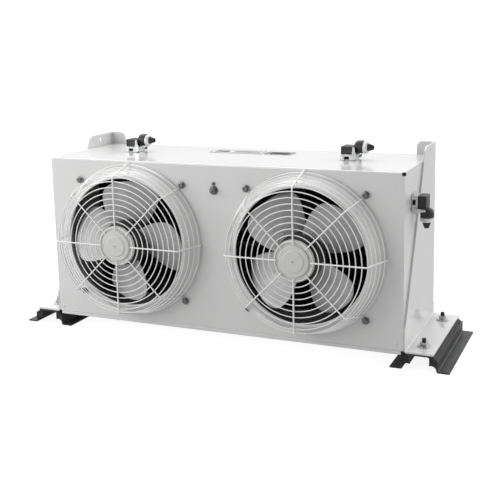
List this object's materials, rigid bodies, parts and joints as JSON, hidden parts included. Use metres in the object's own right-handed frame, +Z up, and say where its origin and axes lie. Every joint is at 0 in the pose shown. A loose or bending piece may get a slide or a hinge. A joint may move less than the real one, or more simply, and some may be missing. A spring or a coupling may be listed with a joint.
{
  "type": "hydraulic oil cooler",
  "caption": "Air-blast hydraulic oil cooler: sheet housing with guarded axial fans in front of a radiator, lifting ears, cable connectors, and rubber-bonded rails to stand on.",
  "frame": {"origin": "centre of the footprint, on the surface that the rails stand on", "axes": "+X to the right seen from the fans, +Y from the fans to the radiator, +Z up"},
  "size_m": [1.13, 0.4016, 0.4902],
  "materials": {
    "white_paint": "gloss powder coat",
    "guard_wire": "satin coated wire",
    "motor_paint": "satin paint",
    "blade_steel": "satin grey coat",
    "zinc": "zinc plated",
    "rail_steel": "black coated steel, paler at the cut ends",
    "rubber": "matt black rubber",
    "core_alloy": "black painted aluminium",
    "die_cast": "bare die casting",
    "black_plastic": "fine grained black plastic",
    "gland_plastic": "pale grey plastic"
  },
  "bodies": {
    "frame": {"blank_plate": "gland_plastic", "bottom_panel": "white_paint", "connector_base_side": "die_cast", "connector_base_top_left": "die_cast", "connector_base_top_right": "die_cast", "connector_gland_side": "gland_plastic", "connector_gland_top_left": "gland_plastic", "connector_gland_top_right": "gland_plastic", "connector_hood_side": "black_plastic", "connector_hood_top_left": "black_plastic", "connector_hood_top_right": "black_plastic", "core_side_left": "core_alloy", "core_side_right": "core_alloy", "drain_plug": "zinc", "earth_screw": "zinc", "earth_stud": "zinc", "end_bracket_left": "white_paint", "end_bracket_right": "white_paint", "foot_nut_left_front": "zinc", "foot_nut_left_rear": "zinc", "foot_nut_right_front": "zinc", "foot_nut_right_rear": "zinc", "guard_left": "guard_wire", "guard_right": "guard_wire", "guard_screw_left_1": "zinc", "guard_screw_left_2": "zinc", "guard_screw_left_3": "zinc", "guard_screw_left_4": "zinc", "guard_screw_right_1": "zinc", "guard_screw_right_2": "zinc", "guard_screw_right_3": "zinc", "guard_screw_right_4": "zinc", "motor_stator_left": "motor_paint", "motor_stator_right": "motor_paint", "nozzle_left": "white_paint", "nozzle_right": "white_paint", "oil_port_lower": "zinc", "oil_port_upper": "zinc", "radiator_core": "core_alloy", "rail_angle_left_inner": "rail_steel", "rail_angle_left_outer": "rail_steel", "rail_angle_right_inner": "rail_steel", "rail_angle_right_outer": "rail_steel", "rail_channel_left": "rail_steel", "rail_channel_right": "rail_steel", "rail_rubber_left_inner": "rubber", "rail_rubber_left_outer": "rubber", "rail_rubber_right_inner": "rubber", "rail_rubber_right_outer": "rubber", "shroud": "white_paint", "tank_lower": "core_alloy", "tank_upper": "core_alloy", "vent_plug": "zinc"},
    "fan_left": {"impeller_left": "blade_steel", "motor_rotor_left": "motor_paint"},
    "fan_right": {"impeller_right": "blade_steel", "motor_rotor_right": "motor_paint"},
    "lever_top_left": {"connector_lever_top_left": "die_cast"},
    "lever_top_right": {"connector_lever_top_right": "die_cast"},
    "lever_side": {"connector_lever_side": "die_cast"}
  },
  "joints": [
    {"name": "fan_left_spin", "type": "hinge", "parent": "frame", "child": "fan_left", "pos_m": [-0.2295, -0.11685, 0.25], "axis": [0, 1, 0], "continuous": true},
    {"name": "fan_right_spin", "type": "hinge", "parent": "frame", "child": "fan_right", "pos_m": [0.2295, -0.11685, 0.25], "axis": [0, 1, 0], "continuous": true},
    {"name": "lever_top_left_swing", "type": "hinge", "parent": "frame", "child": "lever_top_left", "pos_m": [-0.288, 0.04315, 0.458], "axis": [0, 1, 0], "range_deg": [0, 75]},
    {"name": "lever_top_right_swing", "type": "hinge", "parent": "frame", "child": "lever_top_right", "pos_m": [0.304, 0.04315, 0.458], "axis": [0, 1, 0], "range_deg": [0, 75]},
    {"name": "lever_side_swing", "type": "hinge", "parent": "frame", "child": "lever_side", "pos_m": [0.4707, -0.03485, 0.353], "axis": [0, 1, 0], "range_deg": [0, 75]}
  ]
}
